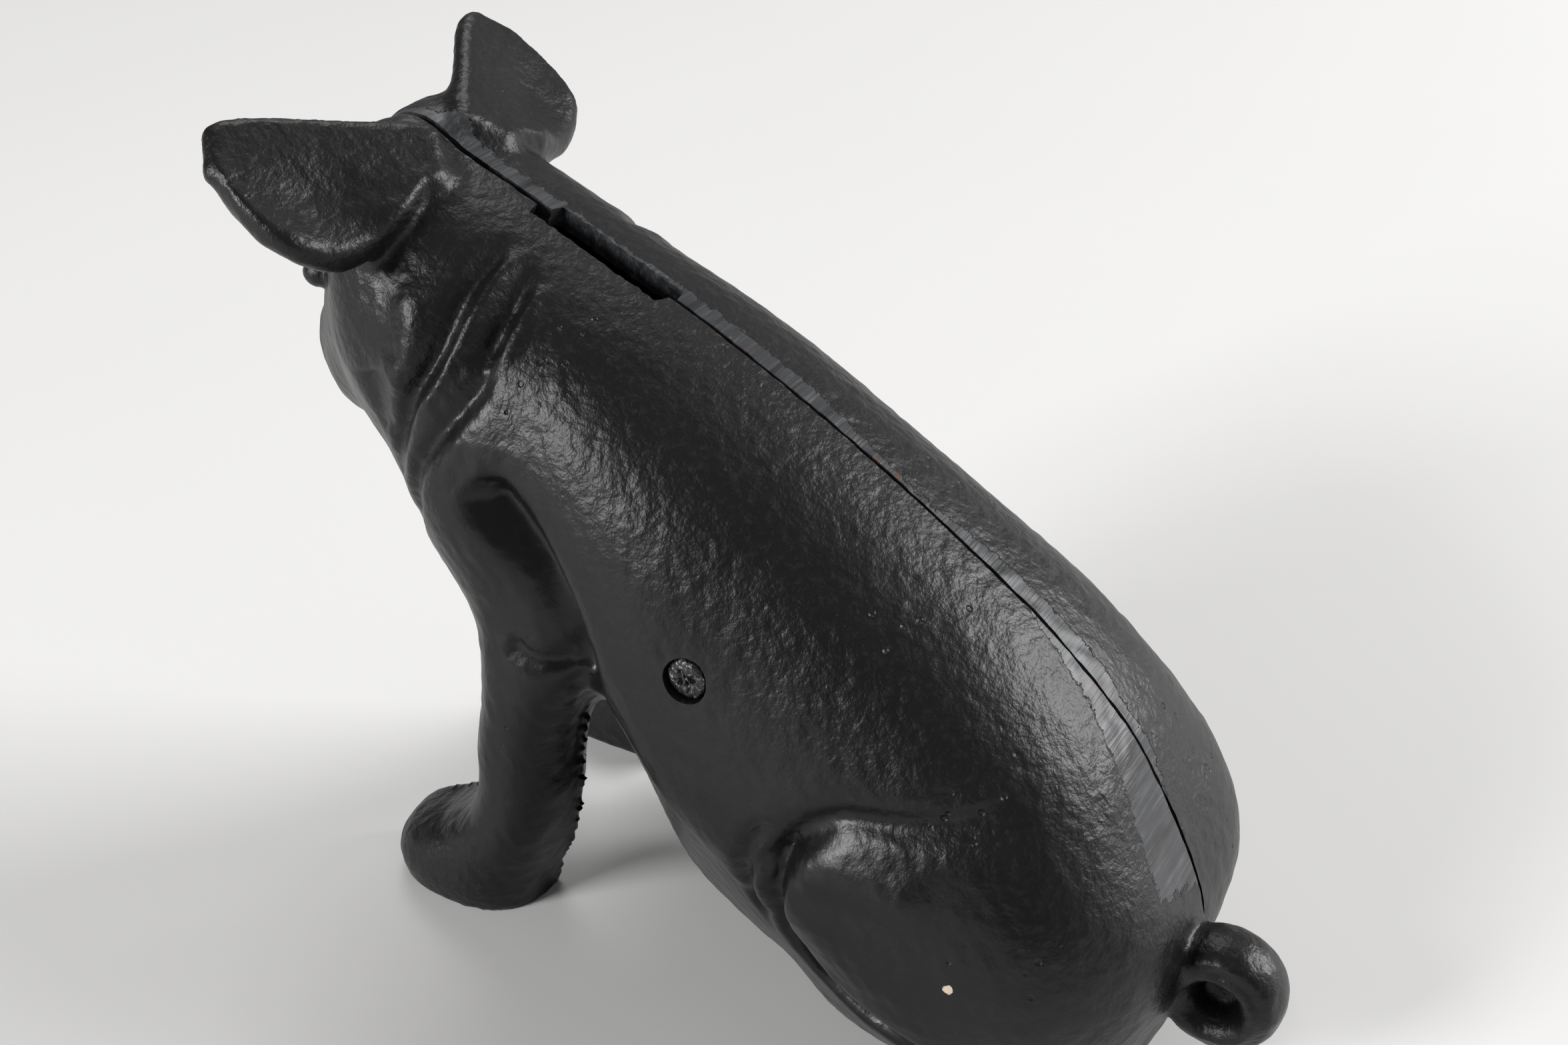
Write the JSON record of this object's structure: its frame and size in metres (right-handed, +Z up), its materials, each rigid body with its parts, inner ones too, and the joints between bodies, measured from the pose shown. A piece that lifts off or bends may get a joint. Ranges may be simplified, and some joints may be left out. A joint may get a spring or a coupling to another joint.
{
  "type": "piggy bank",
  "caption": "Seated pig coin bank: hollow cast halves joined on the middle plane by a screw, with a coin slot along the back.",
  "frame": {"origin": "on the floor, under the middle of the overall box; the castings meet on X = 0", "axes": "+Z up; the pig faces -Y; its left side, with the screw, is +X"},
  "size_m": [0.0988, 0.238, 0.1787],
  "materials": {
    "painted_iron": "satin black paint over rough cast iron",
    "screw_steel": "painted steel"
  },
  "bodies": {
    "right_casting": {"right_half": "painted_iron"},
    "left_casting": {"left_half": "painted_iron"},
    "screw": {"body_screw": "screw_steel"}
  },
  "joints": [
    {"name": "left_half_part", "type": "slide", "parent": "right_casting", "child": "left_casting", "axis": [1, 0, 0], "range_m": [0, 0.09]},
    {"name": "screw_withdraw", "type": "slide", "parent": "left_casting", "child": "screw", "axis": [1, 0, 0], "range_m": [0, 0.055]}
  ]
}
